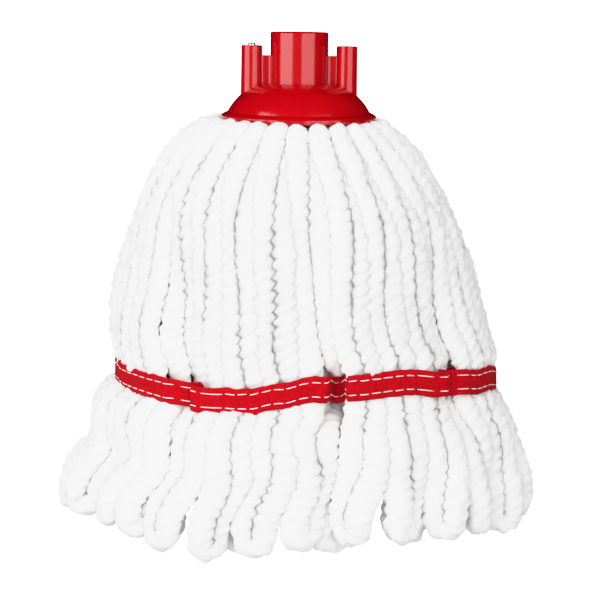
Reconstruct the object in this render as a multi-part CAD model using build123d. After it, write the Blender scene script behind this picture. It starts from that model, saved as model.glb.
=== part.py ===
"""String mop head: a moulded handle socket, a screwed yarn clamp, looped yarn strands and a stitched belt tape.

Millimetres, +Z up. The mop head stands on the ends of its loops, with the socket's axis on Z.
"""

from build123d import *

import math
import os
from bisect import bisect_right

# ---- Moulded socket ----
SOCKET_TOP = 256.4
TUBE_R = 15.0
BORE_R = 12.0
BORE_DEPTH = 38.4
BORE_FLOOR = SOCKET_TOP - BORE_DEPTH
TUBE_BOTTOM = BORE_FLOOR - 3.0
MOUTH_CHAMFER = 0.8
DOME_TOP = SOCKET_TOP - 26.1
DOME_MID = (29.6, DOME_TOP - 5.7)
DOME_END = (36.9, DOME_TOP - 14.7)
DOME_WALL = 2.6
RIM_R = 40.3
RIM_TOP = DOME_TOP - 16.1
RIM_THICK = 2.7
RIM_BOTTOM = RIM_TOP - RIM_THICK
RIM_INSIDE = 34.6
POST_X = 24.6
POST_TOP_R = 5.4
POST_FOOT_R = 5.7
POST_TOP = SOCKET_TOP - 7.0
WEB_TOP = SOCKET_TOP - 12.0
WEB_FOOT = DOME_TOP - 8.3
WEB_THICK = 3.0
WEB_FILLET = 2.0
RIB_THICK = 1.6
RIB_ANGLES = (45, 90, 135, 225, 270, 315)

# ---- Yarn clamp ----
SCREW_R = 2.0
SCREW_HOLE_R = 2.05
CLEAR_HOLE_R = 2.3
SCREW_HEAD_R = 4.4
SCREW_HEAD_H = 2.8
LEFT_TIP = POST_TOP + 1.3
RIGHT_TIP = POST_TOP - 1.6
WASHER_R = 5.6
WASHER_H = 1.0
PLATE_R = 30.0
PLATE_H = 4.0
PLATE_BOSS_R = 7.0
PLATE_BOSS_H = 2.0
PLATE_RIB_H = 2.5
CORE_R = 34.0
CORE_BOTTOM = RIM_BOTTOM - 23.3
CORE_CROWN_R = 30.5
CORE_CROWN_TOP = TUBE_BOTTOM - 0.3
CENTRE_TAPE = (56.0, 16.0, 1.0)
THREAD = 0.5
GAP = 0.15

# ---- Yarn ----
STRAND_R = 3.6
OUTER_LOOPS = 28
INNER_LOOPS = 12
LOOP_OPENING = 14.6
LOOP_LIFTS = (0.0, 4.0, 1.0, 6.5, 0.5, 3.0, 1.5)
FLOOR_Z = STRAND_R
BELT_Z = 80.0
BELT_HALF_STRAIGHT = 9.0

# Routes of a strand from the clamp to the floor: distance out from the socket's axis, height, depth over
# width of the ring at that height, share of the belt's pleats, and how far the ring sits off to -X.
UPPER_ROUTE = (
    (34.1, 207.3, 1.00, 0.00, 0.0),
    (41.5, 207.3, 1.00, 0.00, 0.0),
    (48.5, 208.3, 1.00, 0.00, 1.5),
    (56.5, 202.8, 0.99, 0.00, 4.0),
    (65.5, 191.5, 0.95, 0.00, 5.5),
    (74.5, 175.5, 0.91, 0.10, 6.0),
    (82.5, 155.5, 0.86, 0.25, 5.5),
    (89.5, 131.5, 0.81, 0.50, 4.0),
    (94.0, 108.0, 0.77, 0.80, 1.5),
    (95.5, BELT_Z + BELT_HALF_STRAIGHT, 0.75, 1.00, 0.0),
    (95.5, BELT_Z - BELT_HALF_STRAIGHT, 0.75, 1.00, 0.0),
    (104.0, 58.0, 0.74, 0.65, 0.0),
    (112.0, 41.5, 0.73, 0.35, 0.0),
    (118.5, 21.5, 0.72, 0.12, 0.0),
)
LOWER_ROUTE = (
    (34.1, 199.7, 1.00, 0.00, 0.0),
    (41.0, 199.7, 1.00, 0.00, 0.0),
    (47.0, 199.2, 1.00, 0.00, 1.0),
    (54.0, 195.5, 0.99, 0.00, 3.5),
    (63.0, 185.5, 0.95, 0.00, 5.5),
    (73.0, 171.0, 0.90, 0.10, 6.0),
) + UPPER_ROUTE[6:]
INNER_ROUTE = (
    (34.1, 192.1, 1.00, 0.00, 0.0),
    (40.0, 192.1, 1.00, 0.00, 0.0),
    (46.0, 189.5, 0.98, 0.00, 0.0),
    (51.5, 180.0, 0.93, 0.00, 0.0),
    (55.5, 164.0, 0.88, 0.00, 0.0),
    (59.0, 140.0, 0.82, 0.00, 0.0),
    (60.5, 114.0, 0.77, 0.00, 0.0),
    (61.0, 88.0, 0.74, 0.00, 0.0),
    (67.0, 62.0, 0.72, 0.00, 0.0),
    (74.5, 39.0, 0.71, 0.00, 0.0),
    (80.0, 20.0, 0.70, 0.00, 0.0),
)

# Pleats of the belt: the way each faces in degrees, and how far it goes in.
PLEATS = ((-125, 8.0), (-80, 14.0), (-34, 7.0), (22, 10.0), (64, 8.0), (106, 12.0), (152, 9.0))
PLEAT_TURN_R = 12.0

# ---- Belt tape ----
BELT_WIDTH = 13.0
TAPE_THICK = 1.1
TAPE_OFFSET = STRAND_R + 1.0
STITCH_MARGIN = 2.6
STITCH_LENGTH = 4.2
STITCH_LIFT = 0.6
STITCH_PITCH = 6.0
BELT_POINTS = 168


def ring(station, steps=1440):
    """One level of the skirt seen from above, as closed points with the length run so far at each of them."""
    reach, _, depth_share, pleat_share, off_centre = station
    points = []
    for i in range(steps + 1):
        angle = 2 * math.pi * i / steps
        x, y = reach * math.cos(angle), reach * depth_share * math.sin(angle)
        out = math.hypot(x, y)
        pinch = pleat_share * sum(pleat_depth(out * turn_between(angle, way), depth) for way, depth in PLEATS)
        points.append((x * (1 - pinch / out) - off_centre, y * (1 - pinch / out)))
    run = [0.0]
    for a, b in zip(points, points[1:]):
        run.append(run[-1] + math.dist(a, b))
    return points, run


def pleat_depth(aside, depth):
    """How far a pleat goes in, that far along the ring from its middle. Its bottom has the radius PLEAT_TURN_R."""
    return depth * math.exp(-(aside**2) / (2 * depth * PLEAT_TURN_R))


def turn_between(angle, degrees):
    """The turn between an angle in radians and one in degrees, the short way round, in radians."""
    return (angle - math.radians(degrees) + math.pi) % (2 * math.pi) - math.pi


def ring_point(station_ring, share, shift=0.0):
    """The point at that share of the way round a ring, moved along it by shift."""
    points, run = station_ring
    at = (share * run[-1] + shift) % run[-1]
    i = min(bisect_right(run, at), len(run) - 1)
    t = (at - run[i - 1]) / (run[i] - run[i - 1])
    (ax, ay), (bx, by) = points[i - 1], points[i]
    return ax + t * (bx - ax), ay + t * (by - ay)


def loop_points(k, count, routes, rings):
    """The corners of loop k's route: down one leg, round at the floor and back up the next leg."""
    legs = 2 * count
    lift = LOOP_LIFTS[k % len(LOOP_LIFTS)]
    leg_points = []
    for side, route, station_rings in zip((-1, 1), routes, rings):
        share = (2 * k + 1 + side / 2) / legs
        leg = []
        for station, station_ring in zip(route, station_rings):
            low = max(0.0, 1 - station[1] / BELT_Z)
            opening = LOOP_OPENING - station_ring[1][-1] / legs
            leg.append((*ring_point(station_ring, share, side * opening * low / 2), station[1] + lift * low))
        leg.append((*leg[-1][:2], FLOOR_Z + lift))
        leg_points.append(leg)
    return leg_points[0] + leg_points[1][::-1]


def fillet_radii(points):
    """As large an arc at each corner as its two runs allow."""
    radii = []
    for a, b, c in zip(points, points[1:], points[2:]):
        before, after = Vector(*b) - Vector(*a), Vector(*c) - Vector(*b)
        half_turn = math.radians(before.get_angle(after)) / 2
        radii.append(0.45 * min(before.length, after.length) / math.tan(half_turn))
    return radii


def strand(points):
    """A yarn strand: a round tube along the route."""
    route = FilletPolyline(*points, radius=fillet_radii(points))
    section = Plane(origin=route @ 0, z_dir=route % 0) * Circle(STRAND_R)
    tube = sweep(section, path=route)
    expected = math.pi * STRAND_R**2 * route.length
    print(f"strand {route.length:.0f} mm, smallest radius {min(fillet_radii(points)):.1f}, "
          f"volume over section times length {tube.volume / expected:.4f}")
    return tube


def strand_loops():
    """Every loop of yarn, by node name. Legs leave the clamp in alternating layers, so that they fit side by side."""
    upper, lower, inner = ([ring(s) for s in route] for route in (UPPER_ROUTE, LOWER_ROUTE, INNER_ROUTE))
    made = {}
    for k in range(OUTER_LOOPS):
        points = loop_points(k, OUTER_LOOPS, (UPPER_ROUTE, LOWER_ROUTE), (upper, lower))
        made[f"strand_loop_{k + 1:02d}"] = strand(points)
    for k in range(INNER_LOOPS):
        points = loop_points(k, INNER_LOOPS, (INNER_ROUTE, INNER_ROUTE), (inner, inner))
        made[f"inner_loop_{k + 1:02d}"] = strand(points)
    return made


def cylinder(radius, low, high, x=0.0):
    return extrude(Plane((x, 0, low)) * Circle(radius), high - low)


def turned(*edges):
    """A solid of revolution about Z from a closed outline in the XZ plane."""
    return revolve(make_face(edges), Axis.Z)


def polyline_xz(*points):
    return Polyline(*[(x, 0, z) for x, z in points])


def housing_shell():
    """The tube with its floor, the domed skirt and the rim, in one turned piece."""
    under_top = (TUBE_R, DOME_TOP - DOME_WALL)
    under_mid = (DOME_MID[0] - 1.4, DOME_MID[1] - DOME_WALL)
    under_end = (RIM_INSIDE, RIM_TOP)
    outside = ThreePointArc(*[(x, 0, z) for x, z in ((TUBE_R, DOME_TOP), DOME_MID, DOME_END)])
    inside = ThreePointArc(*[(x, 0, z) for x, z in (under_end, under_mid, under_top)])
    tube = polyline_xz(
        (0, TUBE_BOTTOM), (0, BORE_FLOOR), (BORE_R, BORE_FLOOR), (BORE_R, SOCKET_TOP - MOUTH_CHAMFER),
        (BORE_R + MOUTH_CHAMFER, SOCKET_TOP), (TUBE_R - 0.4, SOCKET_TOP), (TUBE_R, SOCKET_TOP - 0.4),
        (TUBE_R, DOME_TOP),
    )
    rim = polyline_xz(DOME_END, (RIM_R - 0.6, RIM_TOP), (RIM_R, RIM_TOP - 0.6), (RIM_R, RIM_BOTTOM),
                      (RIM_INSIDE, RIM_BOTTOM), under_end)
    foot = polyline_xz(under_top, (TUBE_R, TUBE_BOTTOM), (0, TUBE_BOTTOM))
    return turned(tube, outside, rim, inside, foot)


def dome_ribs():
    """Stiffening ribs inside the dome, between the tube and the skirt. Their upper edges are sunk in the wall."""
    mid_wall = DOME_WALL / 2
    crown, side = (TUBE_R - 1, DOME_TOP - mid_wall), (DOME_MID[0] - 0.7, DOME_MID[1] - mid_wall)
    end = (DOME_END[0] - mid_wall, TUBE_BOTTOM)
    wall = ThreePointArc(*[(x, 0, z) for x, z in (crown, side, end)])
    corners = [wall @ (i / 4) for i in range(5)] + [Vector(TUBE_R - 1, 0, TUBE_BOTTOM)]
    rib = extrude(make_face(Polyline(*corners, close=True)), RIB_THICK / 2, both=True)
    return [Rotation(0, 0, angle) * rib for angle in RIB_ANGLES]


def posts_and_webs():
    """The two screw posts and the webs that tie them to the tube, with rounded inside corners."""
    middle, height = (TUBE_BOTTOM + POST_TOP) / 2, POST_TOP - TUBE_BOTTOM
    posts = [Pos(side * POST_X, 0, middle) * Cone(POST_FOOT_R, POST_TOP_R, height) for side in (-1, 1)]
    plan = Circle(TUBE_R - 0.5) + Rectangle(2 * POST_X, WEB_THICK)
    plan += Locations((-POST_X, 0), (POST_X, 0)) * Circle(POST_TOP_R - 0.4)
    corners = [v for v in plan.vertices() if TUBE_R - 2 < abs(v.X) < POST_X - 2 and abs(v.Y) < WEB_THICK]
    plan = fillet(corners, WEB_FILLET)
    return posts + [extrude(Plane((0, 0, WEB_FOOT)) * plan, WEB_TOP - WEB_FOOT)]


def socket_housing():
    body = housing_shell()
    for piece in posts_and_webs() + dome_ribs():
        body += piece
    body -= cylinder(BORE_R, BORE_FLOOR, SOCKET_TOP)
    for side in (-1, 1):
        body -= cylinder(SCREW_HOLE_R, TUBE_BOTTOM - 1, POST_TOP + 1, side * POST_X)
    return body


def clamp_levels():
    """Heights of the stack under the yarn core: tape, thread, plate, washer and screw head, top down."""
    tape_top = CORE_BOTTOM - GAP
    tape_bottom = tape_top - CENTRE_TAPE[2]
    plate_top = tape_bottom - THREAD - 2 * GAP
    washer_top = plate_top - PLATE_H - PLATE_BOSS_H - GAP
    return tape_bottom, plate_top, washer_top, washer_top - WASHER_H - GAP


def clamp_plate():
    """The disc that holds the yarn up against the dome, ribbed underneath, with a boss at each screw."""
    _, top, _, _ = clamp_levels()
    bottom = top - PLATE_H
    plate = cylinder(PLATE_R, bottom, top)
    plate = chamfer(plate.edges().filter_by(GeomType.CIRCLE), 0.8)
    lip = cylinder(PLATE_R - 1.0, bottom - PLATE_RIB_H, bottom) - cylinder(PLATE_R - 3.5, bottom - PLATE_RIB_H, bottom)
    plate += lip
    for angle in (0, 60, 120):
        rib = Plane((0, 0, bottom - PLATE_RIB_H / 2)) * Box(2 * PLATE_R - 5, 2.0, PLATE_RIB_H)
        plate += Rotation(0, 0, angle + 30) * rib
    for side in (-1, 1):
        plate += cylinder(PLATE_BOSS_R, bottom - PLATE_BOSS_H, bottom, side * (POST_X - 2))
        plate -= cylinder(CLEAR_HOLE_R, bottom - PLATE_RIB_H - 1, top + 1, side * POST_X)
        plate -= cylinder(WASHER_R + 0.4, bottom - PLATE_RIB_H - 1, bottom - PLATE_BOSS_H, side * POST_X)
    return plate


def clamp_screw(x, tip):
    """A blunt self-tapping screw with a pan head and a cross recess."""
    _, _, _, head_top = clamp_levels()
    head = cylinder(SCREW_HEAD_R, head_top - SCREW_HEAD_H, head_top, x)
    head = fillet(head.faces().sort_by(Axis.Z)[0].edges(), 1.6)
    screw = head + cylinder(SCREW_R, head_top, tip, x)
    screw = chamfer(screw.faces().sort_by(Axis.Z)[-1].edges(), 0.4)
    for angle in (0, 90):
        slot = Plane((x, 0, head_top - SCREW_HEAD_H + 0.6)) * Box(4.6, 1.1, 1.4)
        screw -= Pos(x, 0, 0) * (Rotation(0, 0, angle) * (Pos(-x, 0, 0) * slot))
    return screw


def washer(x):
    _, _, top, _ = clamp_levels()
    return cylinder(WASHER_R, top - WASHER_H, top, x) - cylinder(CLEAR_HOLE_R, top - WASHER_H, top, x)


def yarn_core():
    """The gathered middle of the yarn, pressed between dome and plate."""
    shoulder = RIM_BOTTOM - 0.8
    core = turned(polyline_xz((0, CORE_BOTTOM), (CORE_R, CORE_BOTTOM), (CORE_R, shoulder),
                              (CORE_CROWN_R, CORE_CROWN_TOP), (0, CORE_CROWN_TOP), (0, CORE_BOTTOM)))
    for side in (-1, 1):
        core -= cylinder(CLEAR_HOLE_R, CORE_BOTTOM - 1, CORE_CROWN_TOP + 1, side * POST_X)
    return core


def centre_tape():
    """The tape sewn across the middle of the yarn, under the core."""
    length, width, thick = CENTRE_TAPE
    bottom, _, _, _ = clamp_levels()
    tape = Plane((0, 0, bottom + thick / 2)) * Box(length, width, thick)
    for side in (-1, 1):
        tape -= cylinder(CLEAR_HOLE_R, bottom - 1, bottom + thick + 1, side * POST_X)
    return tape


def centre_stitching():
    """Two rows of thread along the underside of the centre tape."""
    length, width, _ = CENTRE_TAPE
    bottom, _, _, _ = clamp_levels()
    rows = []
    for side in (-1, 1):
        z = bottom - GAP / 2 - THREAD / 2
        rows.append(Plane((0, side * (width / 2 - 2.5), z)) * Box(length - 4, THREAD, THREAD))
    return Compound(rows)


def belt_line(distance, offset):
    """A point that far along the belt and that far outside the middle of its strands, and the way out from there."""
    x, y = ring_point(BELT_MIDDLE, 0, distance)
    ahead, behind = ring_point(BELT_MIDDLE, 0, distance + 0.5), ring_point(BELT_MIDDLE, 0, distance - 0.5)
    out = Vector(ahead[1] - behind[1], behind[0] - ahead[0]).normalized()
    return Vector(x, y) + out * offset, out


def band(inside, thick, low, high):
    """A closed band of that thickness round the belt's line, between two heights."""
    length = BELT_MIDDLE[1][-1]
    faces = []
    for offset in (inside, inside + thick):
        points = [belt_line(length * i / BELT_POINTS, offset)[0] for i in range(BELT_POINTS)]
        faces.append(make_face(Spline(*points, periodic=True)))
    return extrude(Plane((0, 0, low)) * (faces[1] - faces[0]), high - low)


def stitch_row(z, offset):
    """Stitches end to end round the belt, each a short bar of thread lying on the tape."""
    length = BELT_MIDDLE[1][-1]
    count = round(length / STITCH_PITCH)
    stitches = []
    for i in range(count):
        middle, out = belt_line(length * i / count, offset)
        place = Plane(origin=(middle.X, middle.Y, z), x_dir=(-out.Y, out.X, 0), z_dir=(0, 0, 1))
        stitches.append(place * Box(STITCH_LENGTH, THREAD, THREAD))
    return stitches


def belt_tapes():
    """The outer and inner tapes, with the strands between them, and the two rows of stitches on their faces."""
    low, high = BELT_Z - BELT_WIDTH / 2, BELT_Z + BELT_WIDTH / 2
    clear_of_face = TAPE_THICK + STITCH_LIFT + THREAD / 2
    made = {
        "belt_tape_outer": band(TAPE_OFFSET, TAPE_THICK, low, high),
        "belt_tape_inner": band(-TAPE_OFFSET - TAPE_THICK, TAPE_THICK, low, high),
    }
    for name, row in (("stitch_row_upper", high - STITCH_MARGIN), ("stitch_row_lower", low + STITCH_MARGIN)):
        outside = stitch_row(row, TAPE_OFFSET + clear_of_face)
        inside = stitch_row(row, -TAPE_OFFSET - clear_of_face)
        made[name] = Compound(outside + inside)
    return made


BELT_MIDDLE = ring(UPPER_ROUTE[9])


def main():
    parts = {
        "socket_housing": socket_housing(),
        "clamp_plate": clamp_plate(),
        "clamp_screw_left": clamp_screw(-POST_X, LEFT_TIP),
        "clamp_screw_right": clamp_screw(POST_X, RIGHT_TIP),
        "washer_left": washer(-POST_X),
        "washer_right": washer(POST_X),
        "yarn_core": yarn_core(),
        "centre_tape": centre_tape(),
        "centre_stitching": centre_stitching(),
    }
    parts.update(belt_tapes())
    parts.update(strand_loops())
    os.makedirs("parts", exist_ok=True)
    for name, shape in parts.items():
        export_step(shape, f"parts/{name}.step")


main()
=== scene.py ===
"""The looks of the string mop head: fluffy twisted yarn, a gathered woven belt tape and glossy plastic."""

import math
import random
from bisect import bisect_right
import itertools

import bmesh
import bpy
import numpy as np
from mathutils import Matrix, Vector, noise


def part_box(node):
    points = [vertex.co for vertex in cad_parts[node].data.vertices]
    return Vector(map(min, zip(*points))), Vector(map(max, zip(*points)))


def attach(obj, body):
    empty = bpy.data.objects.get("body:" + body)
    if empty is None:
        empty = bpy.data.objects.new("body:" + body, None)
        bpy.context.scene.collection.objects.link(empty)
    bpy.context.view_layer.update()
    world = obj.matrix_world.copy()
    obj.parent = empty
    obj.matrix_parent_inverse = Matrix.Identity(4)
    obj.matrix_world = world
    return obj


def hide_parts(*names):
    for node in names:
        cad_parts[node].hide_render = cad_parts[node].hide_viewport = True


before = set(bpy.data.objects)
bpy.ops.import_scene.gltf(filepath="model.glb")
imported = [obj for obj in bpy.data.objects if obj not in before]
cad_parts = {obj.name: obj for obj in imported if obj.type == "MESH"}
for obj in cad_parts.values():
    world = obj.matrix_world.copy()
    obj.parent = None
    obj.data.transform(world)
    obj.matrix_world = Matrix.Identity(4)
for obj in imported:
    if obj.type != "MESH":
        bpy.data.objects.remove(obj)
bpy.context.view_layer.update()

MM = 0.001

# ---- The CAD's own sizes, read from its parts in model.glb ----
BELT_Z = (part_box("belt_tape_outer")[0].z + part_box("belt_tape_outer")[1].z) / 2 / MM

# ---- Yarn, in mm ----
OUTER_LOOPS, INNER_LOOPS = 28, 12
PLIES = 3
TWIST_PITCH = 17.0
TWIST_WANDER, TWIST_WANDER_RUN = 0.9, 32.0
RING_STEP = 0.85
RING_SIDES = 36
CLAMPED_R = 3.4
CLAMPED_RUN, SWELL_RUN = 5.5, 6.5

# How much of its size a strand keeps between its plies, how much its plies add, and how round they are.
PLY_VALLEY, PLY_RISE, PLY_ROUND = 0.84, 0.19, 0.8

# A strand's size against the usual, and how much that differs from strand to strand and along one.
PUFF, PUFF_RANGE, PUFF_WANDER, PUFF_WANDER_RUN = 0.97, 0.05, 0.05, 17.0

# Fluff on the yarn: height, grain and seed of each layer of noise.
FLUFF = ((0.5, 7.0, 2), (0.85, 3.4, 0), (0.4, 1.8, 1))

# Half the thickness and half the width of an outer strand where the belt presses it, half the height of that
# stretch, and how much the strand swells beside it. Then the same two halves all along an inner strand.
PRESSED = (3.5, 6.9)
PRESSED_HALF = 8.0
SWELL, SWELL_AT, SWELL_SHARPNESS = 0.45, 1.55, 6
INNER_SHAPE = (5.2, 7.0)

# Height, and half an outer strand's thickness and half its width there.
YARN_SHAPE = (
    (0, 6.1, 6.9), (25, 6.2, 7.5), (45, 5.8, 7.6), (62, 5.2, 7.4), (95, 5.0, 7.5), (130, 5.0, 7.4),
    (165, 4.9, 6.8), (190, 4.8, 5.9), (206, 4.7, 5.7),
)

# Routes of a strand from the clamp to the floor, in mm: distance out from the socket's axis, height, depth
# over width of the ring at that height, share of the belt's pleats, and how far the ring sits off to -X.
UPPER_ROUTE = (
    (34.1, 207.3, 1.00, 0.00, 0.0),
    (40.5, 207.2, 1.00, 0.00, 0.0),
    (44.3, 208.8, 1.00, 0.00, 2.2),
    (50.5, 205.4, 0.99, 0.00, 4.0),
    (60.8, 196.0, 0.97, 0.00, 3.8),
    (71.6, 180.5, 0.93, 0.10, 3.2),
    (82.3, 159.0, 0.88, 0.35, 2.8),
    (90.3, 133.0, 0.82, 0.65, 1.6),
    (95.2, 108.0, 0.78, 0.90, -0.5),
    (96.6, BELT_Z + 17, 0.77, 0.95, -3.4),
    (97.3, BELT_Z + 9, 0.76, 1.00, -5.0),
    (96.3, BELT_Z - 9, 0.765, 1.00, -5.5),
    (106.8, 62.0, 0.75, 0.85, -1.0),
    (111.0, 49.0, 0.745, 0.60, -4.8),
    (110.8, 36.0, 0.735, 0.40, -6.5),
    (119.8, 20.5, 0.72, 0.15, 0.0),
)
LOWER_ROUTE = (
    (34.1, 199.7, 1.00, 0.00, 0.0),
    (41.0, 199.9, 1.00, 0.00, 0.0),
    (46.5, 201.0, 1.00, 0.00, 1.6),
    (52.3, 198.0, 0.99, 0.00, 3.4),
    (61.0, 189.5, 0.97, 0.00, 3.8),
    (71.2, 175.5, 0.93, 0.10, 3.2),
) + UPPER_ROUTE[6:]
INNER_ROUTE = (
    (34.1, 192.1, 1.00, 0.00, 0.0),
    (40.5, 192.3, 1.00, 0.00, 0.0),
    (50.0, 188.5, 0.98, 0.00, 0.0),
    (60.0, 176.0, 0.94, 0.00, 1.0),
    (69.5, 158.0, 0.88, 0.10, 1.0),
    (76.0, 136.0, 0.82, 0.40, 0.0),
    (79.0, 112.0, 0.77, 0.70, -1.0),
    (80.5, 88.0, 0.75, 0.85, -3.0),
    (86.0, 62.0, 0.74, 0.65, -2.5),
    (94.0, 39.0, 0.73, 0.30, -3.5),
    (101.0, 20.0, 0.72, 0.10, 0.0),
)

# The outer routes' station just above the belt. The tapes follow the next one, just below it.
BELT_STATION = -6
RING_POINTS = 1440
ROUTE_RESOLUTION = 14

# How high a loop's line turns, the least height of its yarn, and how far out its line may go.
LOOP_END_Z = 5.9
FLOOR_GAP = 0.1
MOST_X, MOST_Y = 121.2, 87.4

# How a loop turns at the floor: the way its two legs lie in degrees, how far apart they are, and how far it
# may lean, stand out and hang higher, in mm. LOW_POWER says how late that sets in on the way down.
LOOP_TURN = (18, 72)
LOOP_OPENING = (9.0, 11.0)
LOOP_LEAN, LOOP_PUSH, LOOP_LIFT = 3.0, 2.0, 1.5
LOW_POWER = 1.2

# How strands wander, in mm: aside and out, shared with their neighbours and each on its own, more so near the
# floor, and over what height or width. They are held near the belt and near the clamp, and get free over the
# height given next to each. Above the belt one leg of a loop is tucked in and the other stands out by TUCK.
SHARED_ASIDE, SHARED_OUT = 9.0, 6.0
SHARED_WIDTH, SHARED_HEIGHT = 75.0, 60.0
OWN_ASIDE, OWN_ASIDE_LOW = 2.0, 7.0
OWN_OUT, OWN_OUT_LOW = 1.6, 5.0
OWN_HEIGHT, OWN_SEED_STEP = 38.0, 7.31
HELD_BY_BELT, FREE_FROM_BELT = 8, 25
HELD_ABOVE, FREE_FROM_CLAMP = 200, 30
TUCK = 0.35

# How much the way out of a strand also points up, for each mm out.
OUT_RISE = 0.8

# The yarn core: how much smaller it is than its CAD box, points round it for each loop, its noise, its ribs.
CORE_INSET = 0.6
CORE_SIDES = 12
CORE_GRAIN, CORE_ROUGH, CORE_SEED = 2.6, 0.25, 77
CORE_RIB, CORE_RIB_POWER, CORE_RIB_DROP = 0.55, 0.7, 0.6

# Pleats of the belt: the way each faces in degrees, how far it goes in and the radius of its fold. The outer
# tape doubles back over itself at the first two, instead of going in.
PLEATS = (
    (-128, 12.0, 5.5), (-40, 9.0, 4.5), (22, 10.0, 7.0), (64, 8.0, 7.0), (106, 12.0, 6.0), (152, 9.0, 7.0),
)
FOLD_PLEATS = 2

# The notch is a cut with steep sides that goes straight back, and NOTCH_SLANT to +X for each mm back. Its
# depth is multiplied by the share of the pleats to the power NOTCH_CLOSES, so it closes quickly above and
# below the belt. A tape in it sags by NOTCH_SAG for each NOTCH_DEPTH it is back, where it is no further than
# NOTCH_WITHIN degrees from the notch's way.
NOTCH_WAY, NOTCH_DEPTH, NOTCH_SAG = -81.4, 28.0, 12.5
NOTCH_WITHIN = 15

# Half its width and how steep its sides are, for the yarn and the inner tape and then for the outer tape.
NOTCH_HALF, NOTCH_POWER = 5.2, 6
TAPE_NOTCH_HALF, TAPE_NOTCH_POWER = 2.7, 3
NOTCH_SLANT, NOTCH_CLOSES = 0.05, 24

# Strands make way for the notch by this many radians, from a narrow middle out to where it fades.
NOTCH_SPREAD, SPREAD_MIDDLE, SPREAD_FADES = 0.030, 0.03, 0.35

# What changes round the skirt, in mm at each way in degrees: how far the belt wanders up, how far the loops'
# ends hang above the floor, how far they lean round the skirt, and how far they stand out.
BELT_WANDER = (
    (-180, -0.5), (-150, -0.5), (-136, -0.8), (-129, -2.2), (-125, -3.2), (-107, -1.5), (-95, 2.5),
    (-84, 5.5), (-76, 5.5), (-62, 7.0), (-52, 7.5), (-32, 3.5), (-17, 0.5), (0, -5.0), (40, -4.0),
    (85, 2.0), (130, 1.0), (180, -0.5),
)
HEM_LIFT = (
    (-180, 5.0), (-165, 6.5), (-149, 9.0), (-142.5, 19.0), (-136.5, 9.0), (-127, 9.0), (-120, 0.0),
    (-100, 0.0), (-90, 4.5), (-82, 10.0), (-75, 7.5), (-69, 7.5), (-45, 9.5), (-32, 7.0), (-20, 2.0),
    (0, 2.0), (40, 5.0), (85, 1.0), (130, 4.0), (180, 5.0),
)
HEM_LEAN = (
    (-180, 0.0), (-150, 0.0), (-132, 2.0), (-124, -6.0), (-108, -6.0), (-90, -2.0), (-81, 1.0), (-78, -4.0),
    (-60, -3.0), (-35, 0.0), (-15, 2.0), (0, 0.0), (90, 4.0), (180, 0.0),
)
HEM_BULGE = ((-180, 0.0), (-135, 0.0), (-120, 5.0), (-102, 5.0), (-90, 0.0), (180, 0.0))

# ---- Belt tape, in mm ----
TAPE_HEIGHT = 13.0
TAPE_THICK = 0.9
TAPE_OUT = 5.5
TAPE_COLUMNS = 900
TAPE_ROWS = 12

# How far ahead and behind a point the tape's direction is taken.
TAPE_LOOK = 0.5

# How much less of the pleats the outer tape follows, and how much more the inner one.
TAPE_SHARE_STEP = 0.03

# Ripples in and out, waves of the edges and of the whole tape up and down: how far, and over what length.
# Then how far the edges curl in.
TAPE_RIPPLE, RIPPLE_RUN = 0.5, 6.5
TAPE_LONG_RIPPLE, LONG_RIPPLE_RUN = 0.45, 15.0
TAPE_SCALLOP, SCALLOP_RUN = 0.7, 5.0
TAPE_SAG, SAG_RUN = 0.8, 16.0
TAPE_CURL = 0.7

# A fold: half the length it takes, how far the tape doubles back, how far the part underneath sinks, how far
# the part on top rises and how late the sinking sets in, and half the share of it where one crosses over to
# the other. Then the way of each, and whether the part before it (1) or after it (-1) is underneath.
FOLD_HALF = 16.0
FOLD_BACK = 8.5
FOLD_SINK, FOLD_RISE, FOLD_SINK_POWER = 18.0, 0.6, 1.6
FOLD_CROSSES = 0.28
FOLDS = ((-126.5, 1), (-38, -1))

# A corner of the outer tape that stands up: its way in degrees, its height, half its width and the belt's
# reach there.
TAB_WAY, TAB_HEIGHT, TAB_HALF, TAB_REACH = -175, 3.4, 1.5, 90

# Stitches: how far below the tape's upper edge each row is, a stitch and the gap after it, its radius, its
# steps and how far it strays. Then how far its middle lifts and its ends dip, how thick its ends are and how
# much its middle adds, how soon it is thick, and how flat it is.
STITCH_ROWS = (2.7, 9.8)
STITCH_LENGTH, STITCH_GAP = 4.9, 1.2
STITCH_R = 0.27
STITCH_STEPS = 9
STITCH_STRAY = 0.25
STITCH_LIFT, STITCH_DIP = 1.1, 0.55
STITCH_END, STITCH_MIDDLE, STITCH_SOON, STITCH_FLAT = 0.45, 0.55, 0.35, 0.8

# The centre tape: its screw holes, its grid, and where its face is, how far it waves and how thick it is, as
# shares of its CAD box's thickness.
CENTRE_HOLE_R = 2.3
CENTRE_GRID = (112, 32)
CENTRE_FACE, CENTRE_WAVE, CENTRE_THICK = 0.9, 0.07, 0.75

# The share of its step that a stitch on the centre tape takes.
CENTRE_STITCH = 0.9

# ---- Studio, in metres ----
# The floor's reach and height, from where it starts to rise up to the top of the wall.
FLOOR_PROFILE = ((3.0, -0.0005), (3.6, 0.12), (4.0, 0.6), (4.1, 1.5), (4.1, 5.0))
FLOOR_SIDES = 64

# The camera's place, how far it looks down and rolls in degrees, and its lens and sensor in mm.
CAMERA_PLACE = (0.0, -0.850, 0.274)
CAMERA_DOWN, CAMERA_ROLL = 10.55, -0.7
CAMERA_LENS, CAMERA_SENSOR = 97.5, 36.0

SOFTBOX_AWAY = 1.0
SOFTBOX_SIZE = (0.98, 1.15)

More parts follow.
